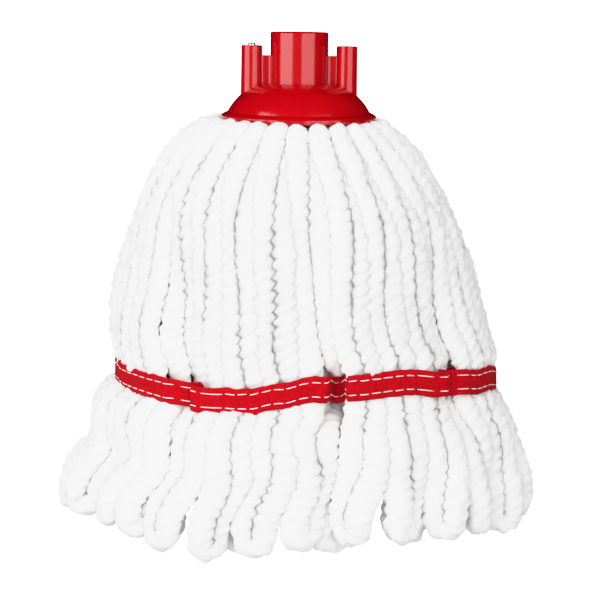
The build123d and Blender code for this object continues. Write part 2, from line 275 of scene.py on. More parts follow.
# Each soft box: the way it stands in degrees from the front, its height, power and downward tilt, and whether
# it shows in glossy surfaces only or lights matt ones only.
SOFTBOXES = {
    "left_gloss_box": (-53, 0.68, 12.8, 0, True),
    "right_gloss_box": (35.5, 0.68, 10.0, 0, True),
    "left_softbox": (-42, 0.68, 8.5, 12, False),
    "right_softbox": (42, 0.68, 3.0, 12, False),
    "front_softbox": (-4, 0.36, 6.6, 4, False),
}
WORLD_STRENGTH = 0.42
FLOOR_GLOW = 2.1

# The photographic tone of the picture, light in and light out: whites are held back just under the paper's.
BRIGHTEST = 2.0
SOFT_WHITES = ((0.3, 0.31), (0.6, 0.68), (0.8, 0.83), (1.0, 0.895), (1.3, 0.93), (1.6, 0.95))

rng = random.Random(7)


# ======== Rings, routes and yarn ========

def turn_between(angle, degrees):
    """The turn from degrees to an angle in radians, the short way round, in radians."""
    return (angle - math.radians(degrees) + math.pi) % (2 * math.pi) - math.pi


def pleat_depth(aside, depth, fold_radius):
    """How far a pleat goes in, that far aside of its middle."""
    return depth * math.exp(-(aside**2) / (2 * depth * fold_radius))


def ring(station, tape=0):
    """One level of the skirt seen from above, as closed points in mm, and the length run so far at each.

    Pleats pull in towards the middle, and the notch goes straight back. The yarn's length is counted along
    the plain oval, so its strands keep their spacing, and those next to the notch make way for it. A tape,
    outside the yarn (1) or inside (-1), has the length of its own pleats.
    """
    reach, _, depth_share, pleat_share, off_centre = station
    notch_half, power = (TAPE_NOTCH_HALF, TAPE_NOTCH_POWER) if tape > 0 else (NOTCH_HALF, NOTCH_POWER)
    pleats = PLEATS[FOLD_PLEATS:] if tape > 0 else PLEATS
    notch_depth = pleat_share**NOTCH_CLOSES * NOTCH_DEPTH
    points, plain = [], []
    for i in range(RING_POINTS + 1):
        angle = 2 * math.pi * i / RING_POINTS
        plain.append((reach * math.cos(angle), reach * depth_share * math.sin(angle)))
        turn = turn_between(angle, NOTCH_WAY)
        if not tape:
            fade = math.exp(-((turn / SPREAD_FADES) ** 2))
            angle += pleat_share * NOTCH_SPREAD * math.tanh(turn / SPREAD_MIDDLE) * fade
        x, y = reach * math.cos(angle), reach * depth_share * math.sin(angle)
        out = math.hypot(x, y)
        notch = notch_depth * math.exp(-(abs(out * turn / notch_half) ** power))
        pinch = 0.0
        for way, depth, fold_radius in pleats:
            pinch += pleat_share**2 * pleat_depth(out * turn_between(angle, way), depth, fold_radius)
        kept = 1 - pinch / out
        points.append((x * kept - off_centre + NOTCH_SLANT * notch, y * kept + notch))
    run = [0.0]
    counted = points if tape else plain
    for a, b in zip(counted, counted[1:]):
        run.append(run[-1] + math.dist(a, b))
    return points, run


def ring_point(station_ring, share, shift=0.0):
    """The point at that share of the way round a ring, moved along it by shift."""
    points, run = station_ring
    at = (share * run[-1] + shift) % run[-1]
    i = min(bisect_right(run, at), len(run) - 1)
    t = (at - run[i - 1]) / (run[i] - run[i - 1])
    (ax, ay), (bx, by) = points[i - 1], points[i]
    return ax + t * (bx - ax), ay + t * (by - ay)


def way_of(x, y):
    """The way from the middle to a point, in degrees."""
    return math.degrees(math.atan2(y, x))


def at_way(knots, way):
    """The value there of something that changes round the skirt, eased from knot to knot."""
    for (a, value_a), (b, value_b) in zip(knots, knots[1:]):
        if way <= b:
            t = (way - a) / (b - a)
            return value_a + t * t * (3 - 2 * t) * (value_b - value_a)
    return knots[-1][1]


def sway(seed, height, size):
    """A smooth sideways wander that differs from strand to strand and changes with height."""
    return size * noise.noise((height / OWN_HEIGHT, seed * OWN_SEED_STEP, 0.5))


def drift(x, y, height, size, kind):
    """A wander that neighbouring strands share."""
    return size * noise.noise((x / SHARED_WIDTH, y / SHARED_WIDTH, height / SHARED_HEIGHT + kind))


def loop_points(k, count, routes, rings, outer):
    """Loop k's route in mm: down one leg, round at the floor and back up the next leg."""
    legs = 2 * count
    x, y = ring_point(rings[0][BELT_STATION], (2 * k + 1) / legs)
    way = way_of(x, y)
    turn = math.radians((-1) ** k * rng.uniform(*LOOP_TURN))
    opening = rng.uniform(*LOOP_OPENING)
    lean = rng.uniform(-LOOP_LEAN, LOOP_LEAN)
    push = rng.uniform(-LOOP_PUSH, LOOP_PUSH)
    lift = rng.uniform(-LOOP_LIFT, LOOP_LIFT)
    if outer:
        lean += at_way(HEM_LEAN, way)
        push += at_way(HEM_BULGE, way)
        lift += at_way(HEM_LIFT, way)
    lift = max(0.0, lift)
    leg_points = []
    for side, route, station_rings in zip((-1, 1), routes, rings):
        share = (2 * k + 1 + side / 2) / legs
        seed = rng.uniform(0, 500)
        leg = []
        for station, station_ring in zip(route, station_rings):
            height = station[1]
            low = max(0.0, 1 - height / BELT_Z)
            below_clamp = min(1.0, max(0.0, (HELD_ABOVE - height) / FREE_FROM_CLAMP))
            free = min(1.0, max(0.0, (abs(height - BELT_Z) - HELD_BY_BELT) / FREE_FROM_BELT)) * below_clamp
            pitch = station_ring[1][-1] / legs
            aside = low**LOW_POWER * (side * (opening * math.cos(turn) - pitch) / 2 + lean)
            out_by = low**LOW_POWER * (side * opening * math.sin(turn) / 2 + push)
            own_aside = sway(seed, height, OWN_ASIDE + OWN_ASIDE_LOW * low)
            aside += free * (drift(x, y, height, SHARED_ASIDE, 0) + own_aside)
            tuck = TUCK * side if height > BELT_Z else 0.0
            own_out = sway(seed + 40, height, OWN_OUT + OWN_OUT_LOW * low)
            out_by += free * (drift(x, y, height, SHARED_OUT, 9) + own_out + tuck)
            px, py = ring_point(station_ring, share, aside)
            grown = 1 + out_by / math.hypot(px, py)
            px = max(-MOST_X, min(MOST_X, px * grown))
            py = max(-MOST_Y, min(MOST_Y, py * grown))
            leg.append(Vector((px, py, height + lift * low)))
        leg.append(Vector((leg[-1].x, leg[-1].y, LOOP_END_Z + lift)))
        leg_points.append(leg)
    return leg_points[0] + leg_points[1][::-1]


def spline_line(points):
    """The smooth line that a NURBS route follows, read from Blender's own curve, in mm."""
    curve = bpy.data.curves.new("route", "CURVE")
    curve.dimensions = "3D"
    curve.resolution_u = ROUTE_RESOLUTION
    spline = curve.splines.new("NURBS")
    spline.points.add(len(points) - 1)
    for p, q in zip(spline.points, points):
        p.co = (*(q * MM), 1.0)
    spline.order_u = 3
    spline.use_endpoint_u = True
    holder = bpy.data.objects.new("route", curve)
    mesh = bpy.data.meshes.new_from_object(holder)
    line = [v.co / MM for v in mesh.vertices]
    bpy.data.objects.remove(holder)
    bpy.data.curves.remove(curve)
    bpy.data.meshes.remove(mesh)
    return line


def even(line, step):
    """The same line with its points an even step apart."""
    run = [0.0]
    for a, b in zip(line, line[1:]):
        run.append(run[-1] + (b - a).length)
    count = round(run[-1] / step)
    made, i = [], 1
    for n in range(count + 1):
        at = run[-1] * n / count
        while i < len(run) - 1 and run[i] < at:
            i += 1
        t = (at - run[i - 1]) / max(run[i] - run[i - 1], 1e-9)
        made.append(line[i - 1].lerp(line[i], t))
    return made, run[-1]


NOISE_VALUES = 4093
NOISE_TABLE = np.random.default_rng(11).uniform(-1, 1, NOISE_VALUES)

# What mixes a grid corner and a seed into a place in that table.
GRID_KEYS = (73856093, 19349663, 83492791)
SEED_KEY, KEY_SHIFT = 7919, 9


def cloud(points, size, seed):
    """Smooth noise from -1 to 1 at each point: random values on a grid of that size, blended between."""
    at = points / size
    base = np.floor(at).astype(np.int64)
    t = at - base
    t = t * t * (3 - 2 * t)
    total = np.zeros(points.shape[:-1])
    for corner in itertools.product((0, 1), repeat=3):
        share = np.prod(np.where(corner, t, 1 - t), axis=-1)
        key = (base + corner) @ np.array(GRID_KEYS) + seed * SEED_KEY
        total += share * NOISE_TABLE[(key ^ (key >> KEY_SHIFT)) % NOISE_VALUES]
    return total


def unit(vectors):
    return vectors / np.linalg.norm(vectors, axis=-1, keepdims=True)


def blend(a, b, share):
    return a + (b - a) * share


def smooth(t):
    t = np.clip(t, 0, 1)
    return t * t * (3 - 2 * t)


def yarn_size(line, run, outer):
    """Half the strand's thickness and width along it, in mm: small in the clamp and pressed by the belt."""
    from_end = np.minimum(run, run[-1] - run)
    height = line[:, 2]
    clamped = smooth(1 - (from_end - CLAMPED_RUN) / SWELL_RUN)
    wander = np.array([at_way(BELT_WANDER, way_of(x, y)) for x, y in line[:, :2]])
    beside = np.abs(height - BELT_Z - wander) / PRESSED_HALF
    knots = np.array(YARN_SHAPE).T
    sizes = []
    for part in (0, 1):
        if outer:
            size = np.interp(height, knots[0], knots[part + 1])
            size = blend(size, PRESSED[part], np.exp(-(beside**6)))
            size = size + SWELL * np.exp(-((beside - SWELL_AT) ** 2) * SWELL_SHARPNESS)
        else:
            size = np.full_like(height, INNER_SHAPE[part])
        sizes.append(blend(size, CLAMPED_R, clamped))
    return sizes


def yarn_mesh(name, line, seed, outer):
    """A soft twisted strand of several plies along a line, as one closed mesh."""
    line = np.array(line)
    run = np.concatenate([[0], np.cumsum(np.linalg.norm(np.diff(line, axis=0), axis=1))])
    along = unit(np.gradient(line, axis=0))
    out = unit(np.column_stack([line[:, 0], line[:, 1], OUT_RISE * np.linalg.norm(line[:, :2], axis=1)]))
    out = unit(out - along * np.sum(out * along, axis=1, keepdims=True))
    side = np.cross(along, out)
    flat_run = np.column_stack([run, run * 0, run * 0])
    puff = PUFF + PUFF_RANGE * rng.random() + PUFF_WANDER * cloud(flat_run, PUFF_WANDER_RUN, seed)
    turn = rng.random() * 2 * math.pi + 2 * math.pi * run / TWIST_PITCH
    turn += TWIST_WANDER * cloud(flat_run, TWIST_WANDER_RUN, seed + 5)
    angle = 2 * math.pi * np.arange(RING_SIDES) / RING_SIDES
    ply = np.abs(np.cos((angle[None, :] - turn[:, None]) * PLIES / 2)) ** PLY_ROUND
    thick, wide = (size * puff for size in yarn_size(line, run, outer))
    spread = (out * thick[:, None])[:, None, :] * np.cos(angle)[None, :, None]
    spread = spread + (side * wide[:, None])[:, None, :] * np.sin(angle)[None, :, None]
    spot = line[:, None, :] + spread
    fluff = sum(height * cloud(spot, grain, seed + layer) for height, grain, layer in FLUFF)
    plies = (PLY_VALLEY + PLY_RISE * ply)[..., None]
    spot = line[:, None, :] + spread * plies + unit(spread) * fluff[..., None]
    spot[..., 2] = np.maximum(spot[..., 2], FLOOR_GAP)
    return tube_object(name, spot * MM, run / TWIST_PITCH)


def tube_object(name, rings, v_run):
    """A closed tube through rings of points, with u round it and v along it."""
    count, sides = rings.shape[:2]
    first = (np.arange(count - 1)[:, None] * sides + np.arange(sides)[None, :]).ravel()
    after = (np.arange(count - 1)[:, None] * sides + (np.arange(sides) + 1)[None, :] % sides).ravel()
    quads = np.column_stack([first, after, after + sides, first + sides])
    ends = [list(range(sides))[::-1], list(range((count - 1) * sides, count * sides))]
    mesh = bpy.data.meshes.new(name)
    mesh.from_pydata(rings.reshape(-1, 3), [], quads.tolist() + ends)
    u = np.tile(np.arange(sides), count - 1) / sides
    v0, v1 = np.repeat(v_run[:-1], sides), np.repeat(v_run[1:], sides)
    corners = np.stack([u, v0, u + 1 / sides, v0, u + 1 / sides, v1, u, v1], axis=1).reshape(-1, 2)
    corners = np.concatenate([corners, np.zeros((2 * sides, 2))])
    layer = mesh.uv_layers.new(name="UVMap")
    layer.data.foreach_set("uv", corners.ravel())
    mesh.polygons.foreach_set("use_smooth", [True] * len(mesh.polygons))
    mesh.update()
    obj = bpy.data.objects.new(name, mesh)
    bpy.context.collection.objects.link(obj)
    return obj


def yarn_loops(material):
    """All the loops of yarn, the outer ones first, each a cord of its own."""
    upper, lower, inner = ([ring(s) for s in route] for route in (UPPER_ROUTE, LOWER_ROUTE, INNER_ROUTE))
    outer_routes, inner_routes = (UPPER_ROUTE, LOWER_ROUTE), (INNER_ROUTE, INNER_ROUTE)
    plan = [("strand_loop", k, OUTER_LOOPS, outer_routes, (upper, lower)) for k in range(OUTER_LOOPS)]
    plan += [("inner_loop", k, INNER_LOOPS, inner_routes, (inner, inner)) for k in range(INNER_LOOPS)]
    for seed, (kind, k, count, routes, rings) in enumerate(plan):
        node = f"{kind}_{k + 1:02d}"
        outer = kind == "strand_loop"
        points = loop_points(k, count, routes, rings, outer)
        line, length = even(spline_line(points), RING_STEP)
        piece = yarn_mesh(f"yarn_{node}", line, seed * 10, outer)
        dress(piece, material, node)


def dress(piece, material, node):
    """Gives a new piece its material, puts it on the root body, and puts it in place of a CAD node."""
    piece.data.materials.append(material)
    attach(piece, "root")
    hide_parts(node)


def gathered_core(material):
    """The pressed middle of all the yarn, with the strands' bundles running out from the centre."""
    low, high = (corner.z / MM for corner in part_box("yarn_core"))
    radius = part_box("yarn_core")[1].x / MM - CORE_INSET
    # Out along its underside, round its lower edge, up its side and back in along its top.
    profile = [(radius * t, low + 0.9) for t in np.linspace(0.03, 0.93, 30)]
    for a in np.linspace(0.2, 1.57, 8):
        profile.append((radius * (0.93 + 0.07 * math.sin(a)), low + 3.4 - 2.5 * math.cos(a)))
    profile += [(radius, z) for z in np.linspace(low + 4.2, high - 6.5, 16)]
    profile += [(radius * t, high - 6.0 + 4.0 * (1 - t)) for t in np.linspace(0.98, 0.03, 20)]
    sides = CORE_SIDES * OUTER_LOOPS
    angle = 2 * math.pi * np.arange(sides) / sides
    reach, level = np.array(profile).T
    rib = np.abs(np.cos(angle * OUTER_LOOPS / 2)) ** CORE_RIB_POWER - CORE_RIB_DROP
    across, deep = np.outer(reach, np.cos(angle)), np.outer(reach, np.sin(angle))
    spot = np.stack([across, deep, np.outer(level, angle * 0 + 1)], axis=-1)
    rough = CORE_ROUGH * cloud(spot, CORE_GRAIN, CORE_SEED)
    rough = rough + CORE_RIB * rib[None, :] * (reach / radius)[:, None]
    spot[..., :2] *= (1 + rough / np.maximum(reach, 4.0)[:, None])[..., None]
    spot[..., 2] -= rough * np.where(level < low + 3, 1.0, 0.0)[:, None]
    piece = tube_object("gathered_yarn", spot[:, ::-1] * MM, np.arange(len(profile)) / 4)
    dress(piece, material, "yarn_core")


# ======== Materials ========

def new_material(name):
    material = bpy.data.materials.new(name)
    material.use_nodes = True
    nodes = material.node_tree.nodes
    return material, nodes, material.node_tree.links, nodes["Principled BSDF"]


def bump_from(nodes, links, height, strength, distance, shader):
    bump = nodes.new("ShaderNodeBump")
    bump.inputs["Strength"].default_value = strength
    bump.inputs["Distance"].default_value = distance
    links.new(height, bump.inputs["Height"])
    links.new(bump.outputs["Normal"], shader.inputs["Normal"])


def yarn_material():
    """White microfibre: matt, letting some light through, with fine uneven fibres in two near whites."""
    material, nodes, links, shader = new_material("white_microfibre_yarn")
    place = nodes.new("ShaderNodeTexCoord")
    fibre = nodes.new("ShaderNodeTexNoise")
    fibre.inputs["Scale"].default_value = 900.0
    fibre.inputs["Detail"].default_value = 5.0
    fibre.inputs["Roughness"].default_value = 0.65
    links.new(place.outputs["Object"], fibre.inputs["Vector"])
    tone = nodes.new("ShaderNodeValToRGB")
    tone.color_ramp.elements[0].position = 0.25
    tone.color_ramp.elements[0].color = (0.955, 0.948, 0.94, 1)
    tone.color_ramp.elements[1].position = 0.7
    tone.color_ramp.elements[1].color = (0.985, 0.984, 0.98, 1)
    links.new(fibre.outputs["Fac"], tone.inputs["Fac"])
    links.new(tone.outputs["Color"], shader.inputs["Base Color"])
    shader.inputs["Roughness"].default_value = 0.95
    shader.inputs["Specular IOR Level"].default_value = 0.2
    shader.inputs["Sheen Weight"].default_value = 0.3
    shader.inputs["Sheen Roughness"].default_value = 0.6
    shader.inputs["Subsurface Weight"].default_value = 0.85
    shader.inputs["Subsurface Radius"].default_value = (1.0, 1.0, 1.0)
    shader.inputs["Subsurface Scale"].default_value = 0.008
    bump_from(nodes, links, fibre.outputs["Fac"], 0.6, 0.0006, shader)
    return material


def plastic_material():
    """Glossy moulded red plastic with a faint flow texture and slightly uneven gloss."""
    material, nodes, links, shader = new_material("red_moulded_plastic")
    place = nodes.new("ShaderNodeTexCoord")
    flow = nodes.new("ShaderNodeTexNoise")
    flow.inputs["Scale"].default_value = 120.0
    flow.inputs["Detail"].default_value = 3.0
    links.new(place.outputs["Object"], flow.inputs["Vector"])
    tone = nodes.new("ShaderNodeValToRGB")
    tone.color_ramp.elements[0].color = (0.40, 0.0002, 0.0036, 1)
    tone.color_ramp.elements[1].color = (0.45, 0.0006, 0.0055, 1)
    links.new(flow.outputs["Fac"], tone.inputs["Fac"])
    links.new(tone.outputs["Color"], shader.inputs["Base Color"])
    gloss = nodes.new("ShaderNodeMapRange")
    gloss.inputs["To Min"].default_value = 0.10
    gloss.inputs["To Max"].default_value = 0.17
    links.new(flow.outputs["Fac"], gloss.inputs["Value"])
    links.new(gloss.outputs["Result"], shader.inputs["Roughness"])
    shader.inputs["IOR"].default_value = 1.55
    bump_from(nodes, links, flow.outputs["Fac"], 0.12, 0.0004, shader)
    return material


def tape_material():
    """Red herringbone tape, its ribs running slantwise in columns that change direction. Its colour follows
    the same height as its bumps and is darker where the weave and its fuzz are low: painted shade in the
    weave's hollows.
    """
    material, nodes, links, shader = new_material("red_woven_tape")
    uv = nodes.new("ShaderNodeTexCoord")
    split = nodes.new("ShaderNodeSeparateXYZ")
    links.new(uv.outputs["UV"], split.inputs["Vector"])

    def math_node(kind, a, b=None):
        node = nodes.new("ShaderNodeMath")
        node.operation = kind
        for socket, value in zip(node.inputs, (a, b)):
            if value is None:
                continue
            if isinstance(value, (int, float)):
                socket.default_value = value
            else:
                links.new(value, socket)
        return node.outputs[0]

    along, across = split.outputs["X"], split.outputs["Y"]
    zigzag = math_node("PINGPONG", across, 2.2)
    slant = math_node("ADD", along, zigzag)
    rib = math_node("SINE", math_node("MULTIPLY", slant, 2 * math.pi / 0.85))
    pick = math_node("SINE", math_node("MULTIPLY", across, 2 * math.pi / 0.55))
    weave = math_node("ADD", rib, math_node("MULTIPLY", pick, 0.45))
    fuzz = nodes.new("ShaderNodeTexNoise")
    fuzz.inputs["Scale"].default_value = 700.0
    fuzz.inputs["Detail"].default_value = 3.0
    links.new(uv.outputs["Object"], fuzz.inputs["Vector"])
    height = math_node("ADD", weave, math_node("MULTIPLY", fuzz.outputs["Fac"], 3.0))
    # Dark end: painted shade in the low parts of the weave and fuzz. Light end: the tape's own red.
    tone = nodes.new("ShaderNodeValToRGB")
    tone.color_ramp.elements[0].color = (0.275, 0.0002, 0.0028, 1)
    tone.color_ramp.elements[1].color = (0.70, 0.0055, 0.0170, 1)
    level = nodes.new("ShaderNodeMapRange")
    level.inputs["From Min"].default_value = 0.2
    level.inputs["From Max"].default_value = 2.6
    links.new(height, level.inputs["Value"])
    links.new(level.outputs["Result"], tone.inputs["Fac"])
    links.new(tone.outputs["Color"], shader.inputs["Base Color"])
    shader.inputs["Roughness"].default_value = 0.75
    shader.inputs["Sheen Weight"].default_value = 0.01
    shader.inputs["Sheen Roughness"].default_value = 0.4
    shader.inputs["Specular IOR Level"].default_value = 0.04
    bump_from(nodes, links, height, 0.6, 0.00022, shader)
    return material


def thread_material():
    """Slightly shiny twisted white thread, darker and pinker in the twist's grooves: painted pinkish shade.
    """
    material, nodes, links, shader = new_material("white_sewing_thread")
    place = nodes.new("ShaderNodeTexCoord")
    wave = nodes.new("ShaderNodeTexWave")
    wave.inputs["Scale"].default_value = 900.0
    wave.inputs["Distortion"].default_value = 1.5
    wave.bands_direction = "DIAGONAL"
    links.new(place.outputs["Object"], wave.inputs["Vector"])
    # The darker, pinker colour in the twist's grooves is painted pinkish shade. The lighter colour is the
    # thread's own white.
    tone = nodes.new("ShaderNodeValToRGB")
    tone.color_ramp.elements[0].color = (0.74, 0.62, 0.60, 1)
    tone.color_ramp.elements[1].color = (0.93, 0.90, 0.88, 1)
    links.new(wave.outputs["Fac"], tone.inputs["Fac"])
    links.new(tone.outputs["Color"], shader.inputs["Base Color"])
    shader.inputs["Roughness"].default_value = 0.55
    shader.inputs["Sheen Weight"].default_value = 0.2
    bump_from(nodes, links, wave.outputs["Fac"], 0.5, 0.0001, shader)
    return material


def steel_material():
    """Zinc-plated steel with a fine uneven grain."""
    material, nodes, links, shader = new_material("zinc_plated_steel")
    place = nodes.new("ShaderNodeTexCoord")
    grain = nodes.new("ShaderNodeTexNoise")
    grain.inputs["Scale"].default_value = 700.0
    grain.inputs["Detail"].default_value = 4.0
    links.new(place.outputs["Object"], grain.inputs["Vector"])
    tone = nodes.new("ShaderNodeValToRGB")
    tone.color_ramp.elements[0].color = (0.42, 0.41, 0.40, 1)
    tone.color_ramp.elements[1].color = (0.68, 0.67, 0.66, 1)
    links.new(grain.outputs["Fac"], tone.inputs["Fac"])
    links.new(tone.outputs["Color"], shader.inputs["Base Color"])
    shader.inputs["Metallic"].default_value = 1.0
    shader.inputs["Roughness"].default_value = 0.38
    bump_from(nodes, links, grain.outputs["Fac"], 0.2, 0.0001, shader)
    return material


def floor_material():
    material, _, _, shader = new_material("pale_floor")
    shader.inputs["Base Color"].default_value = (0.5, 0.5, 0.5, 1)
    shader.inputs["Roughness"].default_value = 0.9
    shader.inputs["Emission Color"].default_value = (1, 1, 1, 1)
    shader.inputs["Emission Strength"].default_value = FLOOR_GLOW
    return material


# ======== Belt tape ========

def tape_line(side):
    """One tape seen from above, outside (side 1) or inside (-1) the strands, as a ring of points in mm.

    Its share of the pleats is a little under 1 outside and over 1 inside. The notch's power makes much more
    of that: the outer tape goes in about half as far as the yarn, and the inner one about twice as far.
    """
    reach, height, depth_share, _, off_centre = UPPER_ROUTE[BELT_STATION + 1]
    grown = reach + side * TAPE_OUT
    share = (reach * depth_share + side * TAPE_OUT) / grown
    return ring((grown, height, share, 1 - TAPE_SHARE_STEP * side, off_centre), tape=side)


def folded(line, at):
    """The outer tape's place on its line that far along, doubled back at folds, and how far it sinks."""
    points, run = line
    place, sink = at, 0.0
    for way, first_under in FOLDS:
        turns = [abs(turn_between(math.atan2(y, x), way)) for x, y in points[::4]]
        near = 4 * turns.index(min(turns))
        q = (at - run[near]) / FOLD_HALF
        if abs(q) < 1:
            place -= FOLD_BACK * math.sin(math.pi * q)
            edge = FOLD_CROSSES
            p = q * first_under
            if p < -edge:
                sink = FOLD_SINK * ((1 + p) / (1 - edge)) ** FOLD_SINK_POWER
            elif p < edge:
                sink = FOLD_SINK - (FOLD_SINK + FOLD_RISE) * (p + edge) / (2 * edge)
            else:
                sink = -FOLD_RISE * (1 - p) / (1 - edge)
    return place, sink


def notch_share(x, y):
    """How far a tape's point near the notch is behind the yarn's plain oval, over the notch's depth."""
    if abs(way_of(x, y) - NOTCH_WAY) > NOTCH_WITHIN:
        return 0.0
    reach, _, depth_share, _, off_centre = UPPER_ROUTE[BELT_STATION + 1]
    oval_y = -reach * depth_share * math.sqrt(1 - ((x + off_centre) / reach) ** 2)
    return max(0.0, y - oval_y) / NOTCH_DEPTH


def tape_frames(side):
    """Points along a tape's line with the way out from each, at an even step, in mm."""
    line = tape_line(side)
    length = line[1][-1]
    made = []
    for i in range(TAPE_COLUMNS):
        at = length * i / TAPE_COLUMNS
        place, sink = folded(line, at) if side > 0 else (at, 0.0)
        x, y = ring_point(line, 0, place)
        ahead, behind = ring_point(line, 0, place + TAPE_LOOK), ring_point(line, 0, place - TAPE_LOOK)
        out = Vector((ahead[1] - behind[1], behind[0] - ahead[0], 0)).normalized()
        sag = NOTCH_SAG * notch_share(x, y)
        middle = Vector((x, y, BELT_Z + at_way(BELT_WANDER, way_of(x, y)) - sag)) - out * sink
        made.append((at, middle, out))
    return made, length


def tape_point(at, middle, out, across, side):
    """A point of a tape's face. Across is the height above its lower edge. Side is 1 outside, -1 inside."""
    v = across / TAPE_HEIGHT
    edge = abs(2 * v - 1)
    ripple = TAPE_RIPPLE * noise.noise((at / RIPPLE_RUN, v * 0.8, side * 3.0))
    ripple += TAPE_LONG_RIPPLE * noise.noise((at / LONG_RIPPLE_RUN, v * 1.4, side * 5.0))
    curl = -TAPE_CURL * edge**4
    scallop = TAPE_SCALLOP * noise.noise((at / SCALLOP_RUN, 4.0 * round(v + 0.001), side + 8.0)) * edge**2
    sag = TAPE_SAG * noise.noise((at / SAG_RUN, 11.0, side))
    from_tab = (math.radians(TAB_WAY) - math.atan2(middle.y, middle.x)) * TAB_REACH / TAB_HALF
    tab = TAB_HEIGHT * v**6 * math.exp(-(from_tab**2))
    spot = middle + out * side * (ripple + curl)
    return Vector((spot.x, spot.y, middle.z - TAPE_HEIGHT / 2 + across + scallop + sag + tab))


def belt_tape(name, node, side, material):
    """One tape round the yarn: a thin woven band that ripples. The outer one doubles back at its folds."""
    frames, length = tape_frames(side)
    bm = bmesh.new()
    uv_layer = bm.loops.layers.uv.new("UVMap")
    front, back = [], []
    for at, middle, out in frames:
        heights = [TAPE_HEIGHT * r / TAPE_ROWS for r in range(TAPE_ROWS + 1)]
        column = [tape_point(at, middle, out, across, side) for across in heights]
        front.append([bm.verts.new(p * MM) for p in column])
        back.append([bm.verts.new((p - out * side * TAPE_THICK) * MM) for p in column])

    def quad(corners, uvs):
        face = bm.faces.new(corners)
        face.smooth = True
        for loop, uv in zip(face.loops, uvs):
            loop[uv_layer].uv = uv

    for i in range(TAPE_COLUMNS):
        n = (i + 1) % TAPE_COLUMNS
        u0, u1 = frames[i][0], frames[i][0] + length / TAPE_COLUMNS
        for r in range(TAPE_ROWS):
            v0, v1 = TAPE_HEIGHT * r / TAPE_ROWS, TAPE_HEIGHT * (r + 1) / TAPE_ROWS
            uvs = ((u0, v0), (u1, v0), (u1, v1), (u0, v1))
            quad((front[i][r], front[n][r], front[n][r + 1], front[i][r + 1]), uvs)
            quad((back[n][r], back[i][r], back[i][r + 1], back[n][r + 1]), uvs)
        for r, v in ((0, 0.0), (TAPE_ROWS, TAPE_HEIGHT)):
            uvs = ((u0, v), (u1, v), (u1, v), (u0, v))
            corners = (front[i][r], front[n][r], back[n][r], back[i][r])
            quad(corners if r else corners[::-1], uvs)
    bmesh.ops.recalc_face_normals(bm, faces=bm.faces)
    piece = bmesh_object(name, bm)
    dress(piece, material, node)


def bmesh_object(name, bm):
    mesh = bpy.data.meshes.new(name)
    bm.to_mesh(mesh)
    bm.free()
    obj = bpy.data.objects.new(name, mesh)
    bpy.context.collection.objects.link(obj)
    return obj


def stitches(name, node, across, material):
    """A row of stitches on both tapes: short bars of thread that dip into the tape at their ends."""
    bm = bmesh.new()
    for side in (1, -1):
        frames, length = tape_frames(side)
        count = round(length / (STITCH_LENGTH + STITCH_GAP))
        columns = TAPE_COLUMNS / count
        for s in range(count):
            path = []
            stray = STITCH_STRAY * noise.noise((s * 1.7, across, side))
            for i in range(STITCH_STEPS + 1):
                t = i / STITCH_STEPS
                column = (s + t * STITCH_LENGTH / (STITCH_LENGTH + STITCH_GAP)) * columns
                at, middle, out = frames[int(column) % TAPE_COLUMNS]
                lift = STITCH_R * (STITCH_LIFT * math.sin(math.pi * t) ** 0.5 - STITCH_DIP)
                p = tape_point(at, middle, out, across + 2 * t * stray, side)
                path.append((p + out * side * lift, out * side))
            thread(bm, path)
    dress(bmesh_object(name, bm), material, node)


def centre_patch(tape_look, thread_look):
    """The tape sewn across the middle of the yarn, with its two screw holes, and its two rows of stitches."""
    low, high = (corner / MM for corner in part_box("centre_tape"))
    holes = [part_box(f"clamp_screw_{s}") for s in ("left", "right")]
    holes = [((a.x + b.x) / 2 / MM, (a.y + b.y) / 2 / MM) for a, b in holes]
    thick = high.z - low.z
    bm = bmesh.new()
    bmesh.ops.create_grid(bm, x_segments=CENTRE_GRID[0], y_segments=CENTRE_GRID[1], size=0.5)
    for v in bm.verts:
        v.co = Vector((v.co.x * (high.x - low.x), v.co.y * (high.y - low.y), low.z + thick * CENTRE_FACE))
    middles = [(f, f.calc_center_median()[:2]) for f in bm.faces]
    lost = [f for f, middle in middles if any(math.dist(middle, hole) < CENTRE_HOLE_R for hole in holes)]
    bmesh.ops.delete(bm, geom=lost, context="FACES")
    for v in bm.verts:
        for hx, hy in holes:
            away = math.dist(v.co[:2], (hx, hy))
            if v.is_boundary and away < CENTRE_HOLE_R + 1:
                v.co.x = hx + (v.co.x - hx) * CENTRE_HOLE_R / away
                v.co.y = hy + (v.co.y - hy) * CENTRE_HOLE_R / away
    for v in bm.verts:
        v.co.z -= thick * CENTRE_WAVE * (1 + noise.noise((v.co.x / 5, v.co.y / 5, 3.0)))
    bmesh.ops.solidify(bm, geom=bm.faces[:], thickness=thick * CENTRE_THICK)
    for v in bm.verts:
        v.co *= MM
    bmesh.ops.recalc_face_normals(bm, faces=bm.faces)
    uv_layer = bm.loops.layers.uv.new("UVMap")
    for face in bm.faces:
        for loop in face.loops:
            loop[uv_layer].uv = (loop.vert.co.x / MM, loop.vert.co.y / MM)
    piece = bmesh_object("centre_tape_woven", bm)
    dress(piece, tape_look, "centre_tape")
    low, high = (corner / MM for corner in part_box("centre_stitching"))
    bm = bmesh.new()
    count = round((high.x - low.x) / (STITCH_LENGTH + STITCH_GAP))
    step = (high.x - low.x) / count
    middle_z = (low.z + high.z) / 2
    for y in (low.y + STITCH_R, high.y - STITCH_R):
        for s in range(count):
            xs = [low.x + step * (s + CENTRE_STITCH * i / STITCH_STEPS) for i in range(STITCH_STEPS + 1)]
            thread(bm, [(Vector((x, y, middle_z)), Vector((0, 0, -1))) for x in xs])
    dress(bmesh_object("centre_stitches", bm), thread_look, "centre_stitching")


